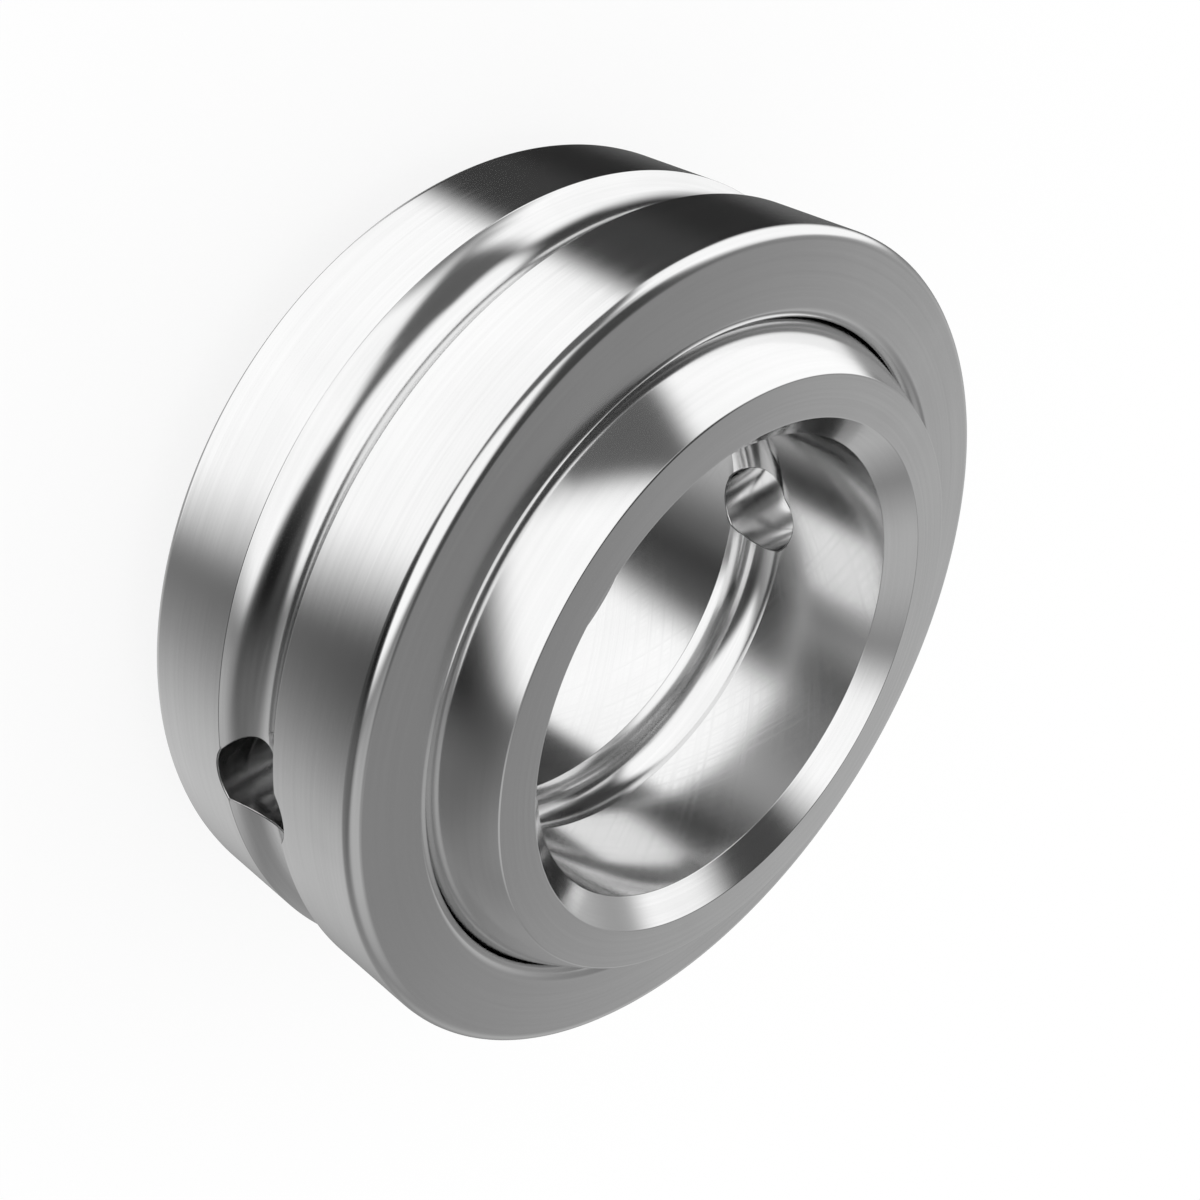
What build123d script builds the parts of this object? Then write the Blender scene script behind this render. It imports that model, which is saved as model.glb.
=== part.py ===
from build123d import *
from math import asin, degrees, isclose
import os

# Self-aligning bushing: a spherical plain bearing of two hardened steel rings.
# The inner ring is a ball with flat ends and a bore for the shaft.
# The outer ring is pressed into the housing, and its hollow spherical seat holds the ball,
# so the shaft can turn, and can lean out of line with the housing.
# Millimetres. The bore axis is Z and the origin is the centre of the ball.

# The ball, the play between it and its seat, and the walls, all measured on the radius
# at the middle of the width. They make the bore 20 mm and the rim 35 mm, a standard pair.
ball_diameter = 30.0
seat_play = 0.03
inner_wall = 5.0
outer_wall = 2.47

# Widths of the rings along the bore axis.
inner_width = 16.0
outer_width = 12.0

# Edges. The rim's outer edges are round so that the ring starts easily into its housing.
rim_edge_radius = 0.4
seat_edge_radius = 0.4
ball_edge_radius = 0.1
bore_chamfer = 1.0

# Grease grooves, round-bottomed, which carry the grease right round each ring.
rim_groove_width = 3.3
rim_groove_depth = 0.8
seat_groove_width = 2.4
seat_groove_depth = 0.3
bore_groove_width = 3.0
bore_groove_depth = 0.5
groove_lip_radius = 0.15

# Grease holes, drilled straight across each ring at the middle of its width.
grease_hole_diameter = 4.0
hole_edge_radius = 0.1

# What follows from the sizes above.
bore_diameter = ball_diameter - 2 * inner_wall
seat_diameter = ball_diameter + 2 * seat_play
rim_diameter = seat_diameter + 2 * outer_wall
drill_length = 2 * rim_diameter

# A groove is cut towards the bore axis or away from it.
inwards = -1
outwards = 1

# How near a corner lies to a line that it is on.
drawing_tolerance = 1e-4


def cut_groove(section, wall_diameter, width, depth, direction):
    """Cuts a round-bottomed groove into a wall of a ring's section and rounds its two lips.

    The cut is the circle through both lips and the lowest point between them.
    """
    radius = ((width / 2) ** 2 + depth**2) / (2 * depth)
    centre = Vector(wall_diameter / 2 + direction * (depth - radius), 0)

    def on_the_circle(corner):
        return isclose((Vector(corner) - centre).length, radius, abs_tol=drawing_tolerance)

    cut = section - Pos(centre) * Circle(radius)
    return fillet(cut.vertices().filter_by(on_the_circle), groove_lip_radius)


def drill_grease_holes(ring):
    """Drills along Y through both sides of the ring and rounds the edges of the two holes."""
    drilled = ring - Rot(X=90) * Cylinder(grease_hole_diameter / 2, drill_length)
    round_faces = drilled.faces().filter_by(GeomType.CYLINDER)
    hole_walls = round_faces.filter_by(lambda face: face.axis_of_rotation.is_parallel(Axis.Y))
    rims = hole_walls.edges().filter_by(GeomType.LINE, reverse=True)
    return fillet(rims, hole_edge_radius)


def turn(section):
    """The ring that a section makes as it turns round the bore axis.

    In a section, X is the distance from the bore axis and Y the height along it.
    """
    return revolve(Plane.XZ * section, Axis.Z)


def make_outer_ring():
    """A turned ring with rounded edges, a hollow spherical seat and a groove in rim and seat."""
    section = Rectangle(rim_diameter / 2, outer_width, align=(Align.MIN, Align.CENTER))
    section -= Circle(seat_diameter / 2)
    section = fillet(section.vertices().group_by(Axis.X)[-1], rim_edge_radius)
    section = fillet(section.vertices().group_by(Axis.X)[0], seat_edge_radius)
    section = cut_groove(section, rim_diameter, rim_groove_width, rim_groove_depth, inwards)
    section = cut_groove(section, seat_diameter, seat_groove_width, seat_groove_depth, outwards)
    return drill_grease_holes(turn(section))


def make_inner_ring():
    """A ball with flat ends and a grooved bore whose mouths are chamfered."""
    blank = Rectangle(ball_diameter / 2, inner_width, align=(Align.MIN, Align.CENTER))
    bore = Rectangle(bore_diameter / 2, inner_width, align=(Align.MIN, Align.CENTER))
    section = (blank & Circle(ball_diameter / 2)) - bore
    section = fillet(section.vertices().group_by(Axis.X)[-1], ball_edge_radius)
    section = chamfer(section.vertices().group_by(Axis.X)[0], bore_chamfer)
    section = cut_groove(section, bore_diameter, bore_groove_width, bore_groove_depth, outwards)
    return drill_grease_holes(turn(section))


os.makedirs("parts", exist_ok=True)
export_step(make_outer_ring(), "parts/outer_ring.step")
export_step(make_inner_ring(), "parts/inner_ring.step")

# The ball leans to each side until the edge of its flat end comes to the edge of the seat.
lean = degrees(asin(inner_width / ball_diameter) - asin(outer_width / ball_diameter))
print("lean to each side, degrees:", round(lean, 2))
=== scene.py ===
from math import atan2, cos, pi, radians, sin, sqrt, tan

import bpy
import numpy as np
from mathutils import Matrix, Vector


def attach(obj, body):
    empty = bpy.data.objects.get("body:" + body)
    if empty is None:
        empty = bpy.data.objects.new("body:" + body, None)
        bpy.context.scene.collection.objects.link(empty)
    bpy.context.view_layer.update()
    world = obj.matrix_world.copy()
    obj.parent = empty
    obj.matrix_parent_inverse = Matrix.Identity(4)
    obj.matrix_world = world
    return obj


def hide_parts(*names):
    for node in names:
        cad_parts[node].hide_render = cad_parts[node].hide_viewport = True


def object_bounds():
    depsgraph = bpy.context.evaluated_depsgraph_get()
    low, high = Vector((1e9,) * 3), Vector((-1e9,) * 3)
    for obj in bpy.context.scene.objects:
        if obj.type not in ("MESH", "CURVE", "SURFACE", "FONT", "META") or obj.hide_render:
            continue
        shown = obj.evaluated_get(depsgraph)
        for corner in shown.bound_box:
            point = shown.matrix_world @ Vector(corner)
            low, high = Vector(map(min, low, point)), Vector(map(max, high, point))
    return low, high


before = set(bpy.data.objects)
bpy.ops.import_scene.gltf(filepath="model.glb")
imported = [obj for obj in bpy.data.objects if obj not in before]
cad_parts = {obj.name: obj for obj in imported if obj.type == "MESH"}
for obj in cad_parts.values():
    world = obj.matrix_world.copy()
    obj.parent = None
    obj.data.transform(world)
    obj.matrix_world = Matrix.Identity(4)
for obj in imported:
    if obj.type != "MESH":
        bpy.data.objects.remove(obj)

# Self-aligning bushing: two polished steel rings, an inner ball that leans in an outer seat.
# The bore axis is Z, the ball's centre is the origin, and the part stands on its inner ring.

cad_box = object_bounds()
millimetre = 0.001

# The rings' sizes in millimetres, as the CAD model has them.
ball_radius = 15.0
seat_radius = 15.03
rim_radius = 17.5
bore_radius = 10.0
inner_half_width = 8.0
outer_half_width = 6.0
ball_edge_radius = 0.1
bore_chamfer = 1.0
hole_radius = 2.0
# Half widths and depths of the three grease grooves.
rim_groove = (1.65, 0.8)
seat_groove = (1.2, 0.3)
bore_groove = (1.5, 0.5)
# The chamfer's two edges are broken with a touch of the stone, which the CAD model leaves out.
broken_edge_radius = 0.06
# In the photograph the grooves' lips and the holes' rims are nearly sharp, and the edges of rim
# and seat are a little rounder. The CAD model has 0.15, 0.1, 0.4 and 0.4.
lip_radius = 0.05
hole_edge_radius = 0.05
rim_edge_radius = 0.5
seat_edge_radius = 0.5

# How finely the surfaces are worked out: steps round the bore axis, and rings of faces round a
# grease hole, on its edge and along it.
steps_round = 480
rings_round_hole = 20
rings_on_hole_edge = 5
rings_in_hole = 6
# Points on a groove, on its lip and on the wall beside it. They are the rows of half a window
# that is left open for a hole's rings of faces, where each curve shares its last point.
groove_points = 12
lip_points = 7
wall_points = 4
window_rows = groove_points + lip_points + wall_points - 2
# Half height of that window, and half its steps round each ring, wide enough for the hole's edge.
window_half_height = 2.6
outer_window_steps = 15
inner_window_steps = 20
# The faces round a hole lie in lines that lead to it. Those that start below this height stay
# level, and the one from the window's corner ends at the next height.
above_lips = 1.8
corner_line_height = 1.98
# The walls round a hole are looked up on curves this many times finer, and the place where the
# hole's edge touches them is found in this many rounds.
look_up_fineness = 10
touch_rounds = 6
# Heights in millimetres that differ by less than this are the same.
same_height = 1e-6


def arc(centre, radius, first, last, count, hollow=False):
    """Points on a circle from one angle to another, and the directions that leave the steel.

    They leave it away from the centre, or towards the centre where the steel is hollow.
    """
    angles = np.linspace(first, last, count)
    away = np.column_stack((np.cos(angles), np.sin(angles)))
    return np.asarray(centre) + radius * away, -away if hollow else away


def straight(first, last, count):
    """Points on a straight line, and the direction to its right, which leaves the steel."""
    first, last = np.asarray(first, float), np.asarray(last, float)
    along = (last - first) / np.linalg.norm(last - first)
    points = first + np.linspace(0, 1, count)[:, None] * (last - first)
    return points, np.tile((along[1], -along[0]), (count, 1))


def groove_circle(wall, half_width, depth, direction):
    """Distance from the bore axis and radius of the circle through a groove's lips and bottom."""
    radius = (half_width ** 2 + depth ** 2) / (2 * depth)
    return wall + direction * (depth - radius), radius


def crossing(first, first_radius, second, second_radius):
    """Where two circles whose centres lie on the section's middle line cross above it."""
    gap = second - first
    along = (first_radius ** 2 - second_radius ** 2 + gap ** 2) / (2 * gap)
    return first + along, sqrt(first_radius ** 2 - along ** 2)


def outer_section(fine):
    """Half of the outer ring's section, from the rim groove's bottom to the seat groove's.

    Each curve's points are a distance from the bore axis and a height, with the direction that
    leaves the steel. The last number of a curve is how many points it has, and fine multiplies
    those inside a window.
    """
    groove, groove_radius = groove_circle(rim_radius, *rim_groove, -1)
    lip = rim_radius - lip_radius
    lip_height = sqrt((groove_radius + lip_radius) ** 2 - (groove - lip) ** 2)
    lip_angle = atan2(lip_height, lip - groove)
    hollow, hollow_radius = groove_circle(seat_radius, *seat_groove, 1)
    inner_lip = crossing(0, seat_radius + lip_radius, hollow, hollow_radius + lip_radius)
    edge_height = outer_half_width - seat_edge_radius
    edge = sqrt((seat_radius + seat_edge_radius) ** 2 - edge_height ** 2)
    seat_angle = atan2(edge_height, edge)
    window_angle = np.arcsin(window_half_height / seat_radius)
    lip_on_seat = atan2(inner_lip[1], inner_lip[0])
    lip_on_hollow = atan2(inner_lip[1], inner_lip[0] - hollow)
    corner = outer_half_width - rim_edge_radius
    return [
        arc((groove, 0), groove_radius, pi, lip_angle, groove_points * fine, hollow=True),
        arc((lip, lip_height), lip_radius, lip_angle - pi, 0, lip_points * fine),
        straight((rim_radius, lip_height), (rim_radius, window_half_height), wall_points * fine),
        straight((rim_radius, window_half_height), (rim_radius, corner), 4),
        arc((rim_radius - rim_edge_radius, corner), rim_edge_radius, 0, pi / 2, 9),
        straight((rim_radius - rim_edge_radius, outer_half_width), (edge, outer_half_width), 5),
        arc((edge, edge_height), seat_edge_radius, pi / 2, seat_angle + pi, 10),
        arc((0, 0), seat_radius, seat_angle, window_angle, 8, hollow=True),
        # The seat's groove is narrower, so the wall has a point more here and the hollow one less.
        arc((0, 0), seat_radius, window_angle, lip_on_seat, (wall_points + 1) * fine, hollow=True),
        arc(inner_lip, lip_radius, lip_on_seat + pi, lip_on_hollow + pi, lip_points * fine),
        arc((hollow, 0), hollow_radius, lip_on_hollow, 0, (groove_points - 1) * fine, hollow=True),
    ]


def inner_section(fine):
    """Half of the inner ring's section, from the ball's widest place to the bore groove's bottom.

    Its curves are as those of the outer ring's.
    """
    window_angle = np.arcsin(window_half_height / ball_radius)
    edge_height = inner_half_width - ball_edge_radius
    edge = sqrt((ball_radius - ball_edge_radius) ** 2 - edge_height ** 2)
    edge_angle = atan2(edge_height, edge)
    groove, groove_radius = groove_circle(bore_radius, *bore_groove, 1)
    lip = bore_radius + lip_radius
    lip_height = sqrt((groove_radius + lip_radius) ** 2 - (lip - groove) ** 2)
    lip_angle = atan2(lip_height, lip - groove)
    setback = broken_edge_radius * tan(pi / 8)
    mouth = (bore_radius + bore_chamfer + setback, inner_half_width - broken_edge_radius)
    throat = (bore_radius + broken_edge_radius, inner_half_width - bore_chamfer - setback)
    chamfer_out = broken_edge_radius * np.array((-sqrt(0.5), sqrt(0.5)))
    return [
        arc((0, 0), ball_radius, 0, window_angle, window_rows * fine),
        arc((0, 0), ball_radius, window_angle, edge_angle, 18),
        arc((edge, edge_height), ball_edge_radius, edge_angle, pi / 2, 6),
        straight((edge, inner_half_width), (mouth[0], inner_half_width), 3),
        arc(mouth, broken_edge_radius, pi / 2, 3 * pi / 4, 4),
        straight(mouth + chamfer_out, throat + chamfer_out, 3),
        arc(throat, broken_edge_radius, 3 * pi / 4, pi, 4),
        straight((bore_radius, throat[1]), (bore_radius, window_half_height), 6),
        straight((bore_radius, window_half_height), (bore_radius, lip_height), wall_points * fine),
        arc((lip, lip_height), lip_radius, pi, lip_angle + pi, lip_points * fine),
        arc((groove, 0), groove_radius, lip_angle, 0, groove_points * fine, hollow=True),
    ]


def joined(curves):
    """The curves of a section end to end, each end point once."""
    points = np.vstack([curves[0][0]] + [p[1:] for p, _ in curves[1:]])
    leaving = np.vstack([curves[0][1]] + [d[1:] for _, d in curves[1:]])
    return points, leaving


def wall_near_hole(section, side):
    """Looks up a wall near the grease holes, on the ring's outside (1) or bore side (-1).

    The wall turns round the bore axis, so beside the axis by x and at height z it lies at
    y = the square root of (its radius at z, squared, less x squared).
    """
    points, leaving = joined(section(look_up_fineness))
    in_window = points[:, 1] < window_half_height + same_height
    turn = len(points) - np.argmin(in_window[::-1]) if side < 0 else np.argmin(in_window)
    rows = slice(None, turn) if side > 0 else slice(None, turn - 1, -1)
    radii, heights = points[rows].T
    out, up = leaving[rows].T

    def look_up(x, z):
        radius = np.interp(abs(z), heights, radii)
        y = np.sqrt(radius ** 2 - x ** 2)
        flat = np.interp(abs(z), heights, out)
        rise = np.interp(abs(z), heights, up) * np.sign(z)
        direction = np.stack((flat * x / radius, flat * y / radius, rise), -1)
        return y, direction / np.linalg.norm(direction, axis=-1, keepdims=True)

    return look_up


def hole_side(section, side, edge_x, edge_z):
    """Rows of points from the window's edge in to the grease hole's wall, on one side of the ring.

    Seen along Y, straight lines run from the window's edge to the hole: beside the hole they keep
    their height, so that they follow the groove's lips, and above it they spread evenly. The wall
    gives their place along Y. The hole's edge is an arc that touches the wall and the hole, in the
    plane of the hole's axis. Returns each line's angle at the hole, the points and directions.
    """
    look_up = wall_near_hole(section, side)
    centre = hole_radius + hole_edge_radius
    height = np.interp(abs(edge_z), (0, above_lips, window_half_height),
                       (0, above_lips, corner_line_height))
    beside = np.arcsin(height / centre)
    corner = np.arcsin(corner_line_height / centre)
    above = pi / 2 - (pi / 2 - corner) * abs(edge_x) / abs(edge_x).max()
    angle = np.where(abs(edge_z) < window_half_height - same_height, beside, above)
    angle = np.where(edge_x < 0, pi - angle, angle) * np.where(edge_z < 0, -1, 1)
    ray = np.stack((np.cos(angle), np.zeros_like(angle), np.sin(angle)), -1)
    across = np.stack((-np.sin(angle), np.zeros_like(angle), np.cos(angle)), -1)
    axis = np.array((0.0, side, 0.0))
    touch = np.full_like(angle, centre)
    for _ in range(touch_rounds):
        y, direction = look_up(touch * ray[:, 0], touch * ray[:, 2])
        along_ray = (direction * ray).sum(-1)
        first = np.arctan2(direction[:, 1] * side, along_ray)
        touch = centre + hole_edge_radius * np.cos(first)
    lean = (direction * across).sum(-1)
    centre_y = side * y - hole_edge_radius * np.sin(first)

    share = np.linspace(1, 0, rings_round_hole + 1)[1:, None]
    x = touch * ray[:, 0] + share * (edge_x - touch * ray[:, 0])
    z = touch * ray[:, 2] + share * (edge_z - touch * ray[:, 2])
    y, direction = look_up(x, z)
    points = [np.stack((x, y, z), -1)]
    directions = [direction]

    progress = np.linspace(0, 1, rings_on_hole_edge + 1)[1:, None]
    bend = first + progress * (pi - first)
    points.append((centre + hole_edge_radius * np.cos(bend))[..., None] * ray
                  + (centre_y + hole_edge_radius * np.sin(bend))[..., None] * axis)
    aside = lean * (1 - progress)
    plane = np.sqrt(1 - aside ** 2)
    directions.append((plane * np.cos(bend))[..., None] * ray
                      + (plane * np.sin(bend))[..., None] * axis + aside[..., None] * across)
    return angle, np.vstack(points), np.vstack(directions)


def ring_mesh(name, section, window_steps):
    """A ring as a grid of section rows and steps round the bore axis, drilled along Y.

    Each grid point is its section row turned to its angle. Where a grease hole goes through, a
    window is left open in the grid on both walls, and a second grid of rays round the hole joins
    the two windows through the wall.
    """
    points, leaving = joined(section(1))
    below = slice(-2, 0, -1)
    mirror = np.array((1, -1))
    last = len(points) - 1
    points = np.vstack((points, points[below] * mirror))
    leaving = np.vstack((leaving, leaving[below] * mirror))
    rows = len(points)
    turns = np.arange(steps_round)[:, None] * 2 * pi / steps_round

    def turned(row_values):
        out, up = row_values.T
        flat = np.broadcast_to(up, (steps_round, rows))
        return np.stack((out * np.cos(turns), out * np.sin(turns), flat), -1).reshape(-1, 3)

    corners, directions = [turned(points)], [turned(leaving)]
    step, row = np.meshgrid(np.arange(steps_round), np.arange(rows), indexing="ij")

    def number(step, row):
        return step % steps_round * rows + row % rows

    quads = np.stack((number(step, row), number(step + 1, row),
                      number(step + 1, row + 1), number(step, row + 1)), -1).reshape(-1, 4)
    half = window_rows - 1
    quarter = steps_round // 4
    step, row = step.ravel(), row.ravel()
    beside = (step - quarter + window_steps) % (steps_round // 2) < 2 * window_steps
    outside = (row + half) % rows < 2 * half
    bore_side = abs(row + 0.5 - last) < half
    quads = [quads[~(beside & (outside | bore_side))]]

    # Round the window's edge, on the outside and the bore side, from the lowest left corner.
    w = np.arange(-window_steps, window_steps)
    h = np.arange(-half, half)
    sides, ends = np.full(2 * half, window_steps), np.full(2 * window_steps, half)
    edge_step = np.concatenate((w, sides, -w, -sides))
    edge_row = np.concatenate((-ends, h, ends, -h))
    outer_edge = number(quarter + edge_step, edge_row)
    inner_edge = number(quarter + edge_step, last - edge_row)
    grid = corners[0]
    out_angle, out_points, out_directions = hole_side(section, 1, *grid[outer_edge][:, ::2].T)
    in_angle, in_points, in_directions = hole_side(section, -1, *grid[inner_edge][:, ::2].T)

    # The hole's wall: from one edge to the other along Y, always one hole radius from the axis.
    share = np.linspace(0, 1, rings_in_hole + 1)[1:-1, None]
    twist = (in_angle - out_angle + pi) % (2 * pi) - pi
    angle = out_angle + share * twist
    y = out_points[-1, :, 1] + share * (in_points[-1, :, 1] - out_points[-1, :, 1])
    ray = np.stack((np.cos(angle), 0 * angle, np.sin(angle)), -1)
    inside_points = hole_radius * ray + np.stack((0 * y, y, 0 * y), -1)
    hole_points = np.concatenate((out_points, inside_points, in_points[::-1]))
    hole_directions = np.concatenate((out_directions, -ray, in_directions[::-1]))

    # The same hole on both sides of the ring, the second turned half way round.
    rings, around = hole_points.shape[:2]
    for side in (1, -1):
        first = sum(len(c) for c in corners)
        face = np.array((side, side, 1))
        corners.append(hole_points.reshape(-1, 3) * face)
        directions.append(hole_directions.reshape(-1, 3) * face)
        shift = quarter if side > 0 else 3 * quarter
        numbers = np.vstack((number(shift + edge_step, edge_row),
                             first + np.arange(rings * around).reshape(rings, around),
                             number(shift + edge_step, last - edge_row)))
        ahead = np.roll(numbers, -1, 1)
        quads.append(np.stack((numbers[:-1], ahead[:-1],
                               ahead[1:], numbers[1:]), -1).reshape(-1, 4))

    corners, directions, quads = np.vstack(corners), np.vstack(directions), np.vstack(quads)
    a, b, c, d = (corners[quads[:, k]] for k in range(4))
    inwards = (np.cross(c - a, d - b) * directions[quads].sum(1)).sum(1) < 0
    quads[inwards] = quads[inwards][:, ::-1]
    used, quads = np.unique(quads, return_inverse=True)
    quads = quads.reshape(-1, 4)
    corners, directions = corners[used] * millimetre, directions[used]

    mesh = bpy.data.meshes.new(name)
    mesh.from_pydata(corners, [], quads)
    mesh.shade_smooth()
    mesh.normals_split_custom_set_from_vertices(directions)
    ring = bpy.data.objects.new(name, mesh)
    bpy.context.scene.collection.objects.link(ring)
    return ring


def linear(hex_colour):
    """The linear red, green, blue and alpha of an sRGB colour written as six hex digits."""
    parts = [int(hex_colour[i:i + 2], 16) / 255 for i in (0, 2, 4)]
    return [p / 12.92 if p <= 0.04045 else ((p + 0.055) / 1.055) ** 2.4 for p in parts] + [1.0]


def add_node(tree, kind, inputs=None, **settings):
    """Adds a node with its settings, and sets or links its inputs by name or number."""
    node = tree.nodes.new(kind)
    for name, value in settings.items():
        setattr(node, name, value)
    for name, value in (inputs or {}).items():
        if isinstance(value, bpy.types.NodeSocket):
            tree.links.new(value, node.inputs[name])
        else:
            node.inputs[name].default_value = value
    return node


# The camera, at the place, lens and tilt that fit the photograph.
camera_distance = 69.48 * millimetre
camera_angle_from_axis = radians(54.206)
camera_bearing = radians(-135)
camera_roll = radians(120.3855)
lens = 50
sensor = 36


def place_camera():
    """The camera looks at the ball's centre. Returns the directions of its right, up and back."""
    back = Vector((
        sin(camera_angle_from_axis) * cos(camera_bearing),
        sin(camera_angle_from_axis) * sin(camera_bearing),
        cos(camera_angle_from_axis),
    ))
    level = Vector((0, 0, 1)).cross(back).normalized()
    upright = back.cross(level)
    right = cos(camera_roll) * level + sin(camera_roll) * upright
    up = cos(camera_roll) * upright - sin(camera_roll) * level
    turn = Matrix((right, up, back)).transposed()
    data = bpy.data.cameras.new("photo_camera")
    data.lens = lens
    data.sensor_width = sensor
    data.clip_start = millimetre
    data.clip_end = 10
    camera = bpy.data.objects.new("photo_camera", data)
    camera.matrix_world = Matrix.Translation(camera_distance * back) @ turn.to_4x4()
    bpy.context.scene.collection.objects.link(camera)
    bpy.context.scene.camera = camera
    return turn


studio_axes = place_camera()

# The studio as the polished steel shows it: soft-edged cards hung round the part in a dim room.
# Its directions are the camera's. A bearing goes round to the right from straight behind the part,
# so 180 is behind the camera, and a height goes up from the camera's level.
# Each card has a bearing, a height, a turn, half its width, half its height, and how wide its soft
# sides and its soft top and bottom are, all in degrees, and then the tone that the steel shows.
# A later card hangs in front of an earlier one. Their places come from the reflections in the
# photograph, rounded to five degrees.
room_tone = 0.11
cards = [
    ("grey card, back left", -45, -15, -45, 25, 30, 45, 60, 0.48),
    ("grey card, low back right", 55, -55, -70, 75, 40, 35, 55, 0.40),
    ("dim card, underneath", 0, -75, 10, 80, 10, 5, 30, 0.20),
    ("bright glow, high front right", 120, 35, 0, 35, 25, 80, 50, 1.40),
    ("white card, high left", -80, 50, 45, 40, 35, 15, 15, 0.96),
    ("white card, behind the camera", 170, 0, -5, 40, 35, 15, 20, 0.96),
    ("black card, high at the back", 10, 65, -20, 15, 35, 10, 25, 0.02),
    ("black card, front left", -130, -15, 5, 15, 30, 20, 55, 0.01),
    ("black card, front right", 115, -5, -30, 20, 45, 20, 40, 0.05),
    ("dark card, above the camera", 160, 55, 5, 25, 20, 5, 10, 0.10),
    ("black card, left", -105, -10, -45, 10, 15, 60, 10, 0.01),
    ("white card, high right", 85, 50, -40, 30, 35, 25, 10, 0.96),
    ("dark card, low left", -110, -45, 55, 15, 20, 65, 30, 0.14),
    ("dark strip, high back left", -15, 60, 70, 20, 10, 15, 10, 0.04),
]
# The share of the light that the steel gives back, by which a card is brighter than its tone.
steel_share = 0.81


def card_axes(bearing, height, turn):
    """The turn that carries a direction into a card's own axes: across it, up it and facing it."""
    facing = Vector((sin(bearing) * cos(height), sin(height), -cos(bearing) * cos(height)))
    level = Vector((cos(bearing), 0, sin(bearing)))
    rise = level.cross(facing)
    rise = rise if rise.y > 0 else -rise
    across = cos(turn) * level + sin(turn) * rise
    up = cos(turn) * rise - sin(turn) * level
    # The card is the same on both sides of its middle, so across may point either way.
    if across.cross(up).dot(facing) < 0:
        across = -across
    return Matrix([studio_axes @ axis for axis in (across, up, facing)]).to_euler()


def card_cover(tree, direction, card):
    """How much of the studio a card hides in a direction: 1 on it, 0 off it, and soft between.

    The angle away from its middle is taken across it and up it, and each is compared with half
    its size. The two results are multiplied.
    """
    angles = [radians(angle) for angle in card]
    bearing, height, turn, half_width, half_height, soft_sides, soft_ends = angles
    seen = add_node(tree, "ShaderNodeMapping", {
        "Vector": direction, "Rotation": card_axes(bearing, height, turn),
    })
    own = add_node(tree, "ShaderNodeSeparateXYZ", {0: seen.outputs[0]})
    covers = []
    for axis, half, soft in (("X", half_width, soft_sides), ("Y", half_height, soft_ends)):
        away = add_node(tree, "ShaderNodeMath", {0: own.outputs[axis]}, operation="ABSOLUTE")
        angle = add_node(tree, "ShaderNodeMath", {
            0: away.outputs[0], 1: own.outputs["Z"],
        }, operation="ARCTAN2")
        covers.append(add_node(tree, "ShaderNodeMapRange", {
            "Value": angle.outputs[0], "From Min": half + soft / 2, "From Max": half - soft / 2,
        }, interpolation_type="SMOOTHSTEP").outputs[0])
    cover = add_node(tree, "ShaderNodeMath", {0: covers[0], 1: covers[1]}, operation="MULTIPLY")
    return cover.outputs[0]


def light_studio():
    """An even white world that lights the floor and is the background, with the cards in it.

    Only rays that leave polished metal see the cards and the dim room.
    """
    world = bpy.data.worlds.new("studio")
    bpy.context.scene.world = world
    world.use_nodes = True
    # It isn't sampled as a lamp, because it looks different to different kinds of ray.
    world.cycles.sampling_method = "NONE"
    tree = world.node_tree
    tree.nodes.clear()
    direction = add_node(tree, "ShaderNodeTexCoord").outputs["Generated"]
    tone = room_tone
    # A Mix node's socket 0 is the share, 2 and 3 are two numbers, and 6 and 7 are two colours.
    for name, *card, card_tone in cards:
        hung = add_node(tree, "ShaderNodeMix", {
            0: card_cover(tree, direction, card), 2: tone, 3: card_tone,
        }, label=name)
        tone = hung.outputs[0]
    cards_seen = add_node(tree, "ShaderNodeBackground", {
        "Color": tone, "Strength": 1 / steel_share,
    })
    plain = add_node(tree, "ShaderNodeBackground", {"Color": linear("FFFFFF"), "Strength": 1.0})
    ray = add_node(tree, "ShaderNodeLightPath")
    seen = add_node(tree, "ShaderNodeMixShader", {
        0: ray.outputs["Is Glossy Ray"], 1: plain.outputs[0], 2: cards_seen.outputs[0],
    })
    add_node(tree, "ShaderNodeOutputWorld", {"Surface": seen.outputs[0]})


light_studio()


def drawn_out(tree, place, stretch, away=None):
    """Uneven noise, 0 to 1, drawn out into lines by a different scale along each axis.

    place is where a point lies on the part, in metres. away, where there is one, is a fourth
    coordinate, and the lines change as it grows.
    """
    scaled = add_node(tree, "ShaderNodeVectorMath", {0: place, 1: stretch}, operation="MULTIPLY")
    inputs = {"Vector": scaled.outputs[0], "Scale": 1.0, "Detail": 2.0, "Roughness": 0.6}
    if away is None:
        return add_node(tree, "ShaderNodeTexNoise", inputs).outputs["Fac"]
    inputs["W"] = away
    return add_node(tree, "ShaderNodeTexNoise", inputs, noise_dimensions="4D").outputs["Fac"]


def lines_round_bore(tree, place, width, length):
    """Uneven lines round the bore axis on every wall and face, as a wheel or a lap leaves them.

    The noise changes slowly across the axis, but fast along it and fast with the distance from it.
    """
    slow, fast = 1 / (length * millimetre), 1 / (width * millimetre)
    flat = add_node(tree, "ShaderNodeVectorMath", {0: place, 1: (1, 1, 0)}, operation="MULTIPLY")
    out = add_node(tree, "ShaderNodeVectorMath", {0: flat.outputs[0]}, operation="LENGTH")
    away = add_node(tree, "ShaderNodeMath", {
        0: out.outputs["Value"], 1: fast,
    }, operation="MULTIPLY")
    return drawn_out(tree, place, (slow, slow, fast), away.outputs[0])


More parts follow.
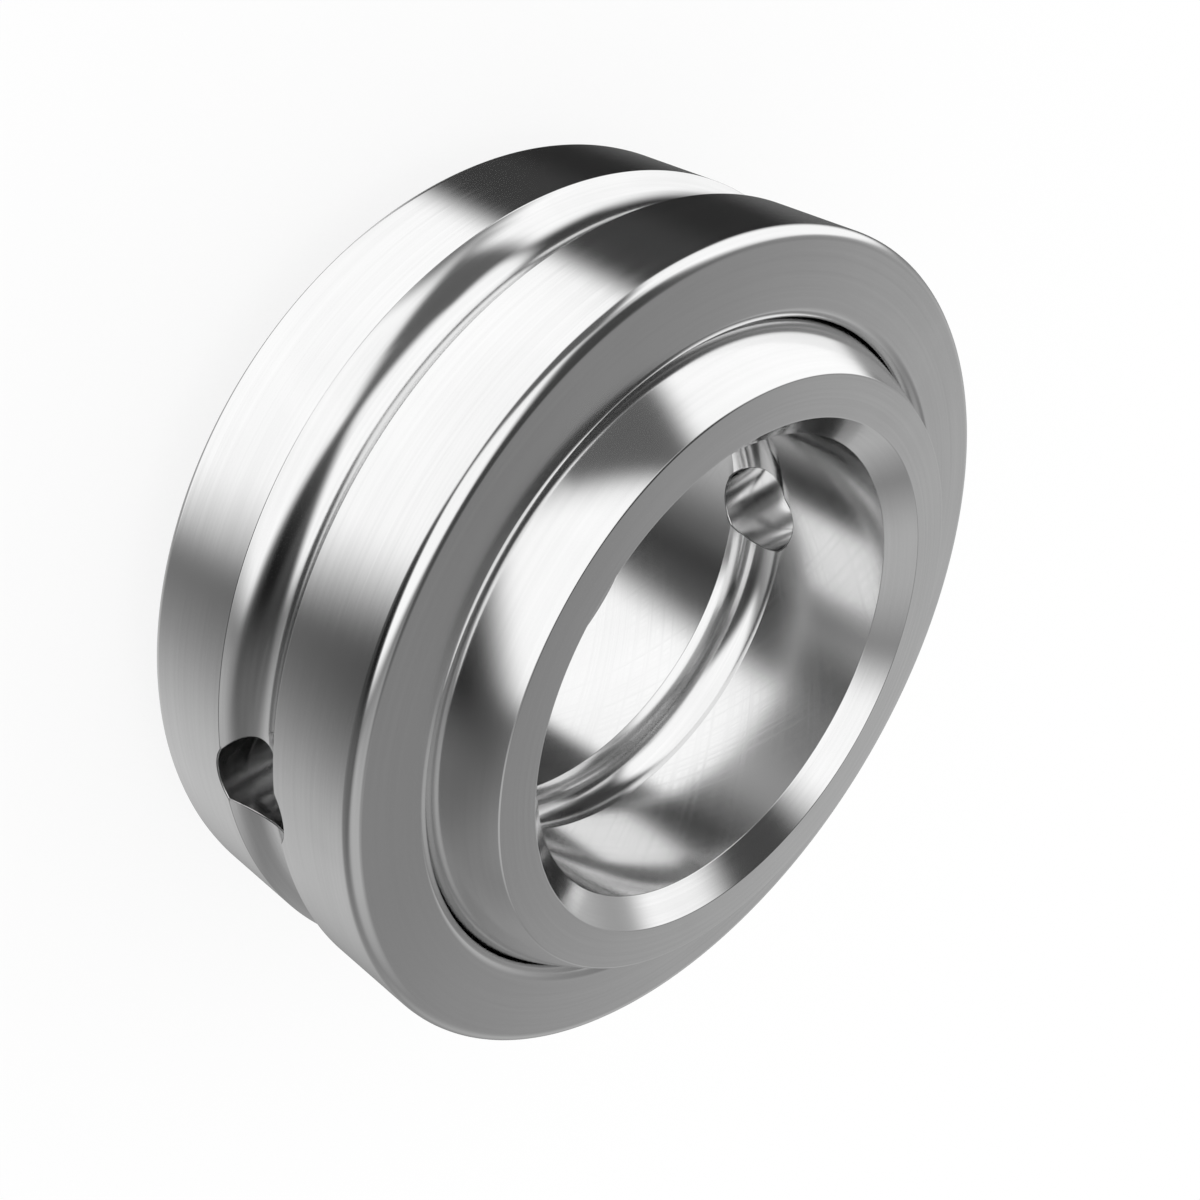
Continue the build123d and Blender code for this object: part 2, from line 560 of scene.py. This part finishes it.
def lines_crossing_in_bore(tree, place, width, length):
    """Two sets of uneven lines that climb the bore's wall and cross, as honing stones leave them.

    For each set the part is twisted about the bore axis, by an angle that grows with the height,
    until lines that climb at the honing angle stand upright. The stronger of the two sets shows.
    """
    height = add_node(tree, "ShaderNodeSeparateXYZ", {0: place}).outputs["Z"]
    slow, fast = 1 / (length * millimetre), sin(honing_angle) / (width * millimetre)
    climb = bore_radius * millimetre * tan(honing_angle)
    sets = []
    for way in (1, -1):
        twist = add_node(tree, "ShaderNodeMath", {0: height, 1: way / climb}, operation="MULTIPLY")
        twisted = add_node(tree, "ShaderNodeVectorRotate", {
            "Vector": place, "Angle": twist.outputs[0],
        }, rotation_type="Z_AXIS")
        sets.append(drawn_out(tree, twisted.outputs[0], (fast, fast, slow)))
    both = add_node(tree, "ShaderNodeMath", {0: sets[0], 1: sets[1]}, operation="MAXIMUM")
    return both.outputs[0]


def lines_round_hole(tree, place, width, length):
    """Uneven rings round the grease holes' axis, which is Y, as a drill leaves them."""
    slow, fast = 1 / (length * millimetre), 1 / (width * millimetre)
    return drawn_out(tree, place, (slow, fast, slow))


def steel(name, bright, dull, roughness, spread, marks, width, length, depth):
    """Bare hardened steel with the marks that one way of working leaves on it.

    The marks are lines of that width and length. They raise the steel by up to the depth, tint it
    from bright to dull and spread its roughness. Broad soft patches of oil dull it too.
    """
    material = bpy.data.materials.new(name)
    material.use_nodes = True
    tree = material.node_tree
    tree.nodes.clear()
    place = add_node(tree, "ShaderNodeTexCoord").outputs["Object"]
    lines = add_node(tree, "ShaderNodeMapRange", {
        "Value": marks(tree, place, width, length), "From Min": noise_low, "From Max": noise_high,
    }).outputs[0]
    oil = add_node(tree, "ShaderNodeTexNoise", {
        "Vector": place, "Scale": 1 / (oil_patch * millimetre), "Detail": 3.0, "Distortion": 0.6,
    })
    patches = add_node(tree, "ShaderNodeMapRange", {
        "Value": oil.outputs["Fac"], "From Min": noise_low, "From Max": noise_high,
    }, interpolation_type="SMOOTHSTEP").outputs[0]
    both = add_node(tree, "ShaderNodeMath", {0: lines, 1: patches}, operation="ADD")
    mean = add_node(tree, "ShaderNodeMath", {0: both.outputs[0], 1: 0.5}, operation="MULTIPLY")
    colour = add_node(tree, "ShaderNodeMix", {
        0: mean.outputs[0], 6: linear(bright), 7: linear(dull),
    }, data_type="RGBA")
    worked = add_node(tree, "ShaderNodeMath", {
        0: lines, 1: spread, 2: roughness - (spread + oil_dulling) / 2,
    }, operation="MULTIPLY_ADD")
    oiled = add_node(tree, "ShaderNodeMath", {
        0: patches, 1: oil_dulling, 2: worked.outputs[0],
    }, operation="MULTIPLY_ADD")
    raised = add_node(tree, "ShaderNodeBump", {"Distance": depth * millimetre, "Height": lines})
    shader = add_node(tree, "ShaderNodeBsdfPrincipled", {
        "Base Color": colour.outputs[2], "Metallic": 1.0, "Roughness": oiled.outputs[0],
        "Normal": raised.outputs[0],
    })
    add_node(tree, "ShaderNodeOutputMaterial", {"Surface": shader.outputs[0]})
    return material


# Noise hardly leaves these values, so they count as its lowest and highest.
noise_low = 0.3
noise_high = 0.7
# Patches of the thin oil that keeps the part from rust are this many millimetres wide, and they
# add this much to the roughness.
oil_patch = 9.0
oil_dulling = 0.03
# The angle at which honing lines climb from level.
honing_angle = radians(30)

# Widths, lengths and depths are in millimetres. Real grit leaves lines of a few hundredths, too
# fine to show, so all lines are drawn coarser and a little deeper.
# Ground between wheels: bright, with long lines round the rim, the flat ends and the chamfers.
ground_steel = steel("ground_bearing_steel", "EBEBEB", "E1E1E1", 0.14, 0.04,
                     lines_round_bore, width=0.16, length=12, depth=0.0002)
# The ball and its seat are lapped after grinding, which makes them the smoothest and clearest.
lapped_steel = steel("lapped_bearing_steel", "ECECEC", "E3E3E3", 0.135, 0.02,
                     lines_round_bore, width=0.24, length=16, depth=0.0001)
# The bore is honed, and its stones leave fine lines that cross, seen where the light grazes it.
honed_steel = steel("honed_bearing_steel", "EBEBEB", "E1E1E1", 0.14, 0.04,
                    lines_crossing_in_bore, width=0.16, length=12, depth=0.0002)
# The grease grooves keep the lathe tool's lines, which are coarser.
turned_steel = steel("turned_bearing_steel", "EBEBEB", "DEDEDE", 0.14, 0.05,
                     lines_round_bore, width=0.2, length=12, depth=0.0003)
# The grease holes keep the drill's rings, and are as bright as the walls round them.
drilled_steel = steel("drilled_bearing_steel", "EEEEEE", "E2E2E2", 0.15, 0.05,
                      lines_round_hole, width=0.3, length=3, depth=0.0003)
# The rims of the holes are matt steel painted dark: a thin line of painted shade round each.
rim_painted_shade_steel = steel("hole_rim_painted_shade", "8A8A8A", "7C7C7C", 0.4, 0.1,
                      lines_round_hole, width=0.3, length=3, depth=0.0005)

# The middle of a face lies no farther than this from the wall that it belongs to, in millimetres.
hair = 0.005


def finishes_by_place(middles):
    """The finishes in use, and which of them each face has.

    middles are where the faces' middles lie on the part, in millimetres. Of the places below, the
    first that a face lies in gives it its finish.
    """
    x, y, z = middles.T
    out, up, from_hole_axis = np.hypot(x, y), abs(z), np.hypot(x, z)
    from_centre = np.hypot(out, up)
    in_rim_groove = ((up < rim_groove[0]) & (out < rim_radius - hair)
                     & (out > rim_radius - rim_groove[1] - hair))
    in_bore_groove = ((up < bore_groove[0]) & (out > bore_radius + hair)
                      & (out < bore_radius + bore_groove[1] + hair))
    on_ball_or_seat = (from_centre > ball_radius - hair) & (from_centre < seat_radius + hair)
    places = [
        (from_hole_axis < hole_radius + hair, drilled_steel),
        # The thin band round each hole's rim gets the dark steel that paints shade there.
        (from_hole_axis < hole_radius + hole_edge_radius, rim_painted_shade_steel),
        (in_rim_groove | in_bore_groove, turned_steel),
        (out < bore_radius + hair, honed_steel),
        (on_ball_or_seat, lapped_steel),
        (out > 0, ground_steel),
    ]
    first_place = np.argmax([here for here, _ in places], 0)
    used, numbers = np.unique(first_place, return_inverse=True)
    return [places[n][1] for n in used], numbers


def dress(ring, node):
    """The ring stands for its CAD node and moves with it, and its faces get their finishes."""
    mesh = ring.data
    middles = np.empty(len(mesh.polygons) * 3, np.float32)
    mesh.polygons.foreach_get("center", middles)
    finishes, numbers = finishes_by_place(middles.reshape(-1, 3) / millimetre)
    for finish in finishes:
        mesh.materials.append(finish)
    mesh.polygons.foreach_set("material_index", numbers.ravel().astype(np.int32))
    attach(ring, node)
    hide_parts(node)


dress(ring_mesh("seat_ring", outer_section, outer_window_steps), "outer_ring")
dress(ring_mesh("ball_ring", inner_section, inner_window_steps), "inner_ring")

# The floor is a sheet of white card, just under the part so that the two don't touch. To the
# camera most of its light is its own, so it runs into the white world and keeps a faint shadow.
floor_radius = 1.0
floor_steps = 96
floor_gap = 0.01 * millimetre
floor_own_light = 0.82


def lay_floor():
    """One round face, its corners evenly spaced on a circle. Metal mirrors the studio instead."""
    turns = np.linspace(0, 2 * pi, floor_steps, endpoint=False)
    height = np.full(floor_steps, cad_box[0][2] - floor_gap)
    corners = np.column_stack((floor_radius * np.cos(turns), floor_radius * np.sin(turns), height))
    mesh = bpy.data.meshes.new("floor")
    mesh.from_pydata(corners.tolist(), [], [list(range(floor_steps))])
    floor = bpy.data.objects.new("floor", mesh)
    bpy.context.scene.collection.objects.link(floor)

    material = bpy.data.materials.new("white_card")
    material.use_nodes = True
    tree = material.node_tree
    tree.nodes.clear()
    card = add_node(tree, "ShaderNodeBsdfDiffuse", {"Color": linear("FFFFFF")})
    white = add_node(tree, "ShaderNodeEmission", {"Color": linear("FFFFFF"), "Strength": 1.0})
    ray = add_node(tree, "ShaderNodeLightPath")
    share = add_node(tree, "ShaderNodeMath", {
        0: ray.outputs["Is Camera Ray"], 1: floor_own_light,
    }, operation="MULTIPLY")
    top = add_node(tree, "ShaderNodeMixShader", {
        0: share.outputs[0], 1: card.outputs[0], 2: white.outputs[0],
    })
    # The sheet is clear from below, so that the part's underside can be looked at.
    side = add_node(tree, "ShaderNodeNewGeometry")
    clear = add_node(tree, "ShaderNodeBsdfTransparent")
    sheet = add_node(tree, "ShaderNodeMixShader", {
        0: side.outputs["Backfacing"], 1: top.outputs[0], 2: clear.outputs[0],
    })
    add_node(tree, "ShaderNodeOutputMaterial", {"Surface": sheet.outputs[0]})
    mesh.materials.append(material)
    floor.visible_glossy = False


lay_floor()

bpy.context.scene.view_settings.view_transform = "Standard"
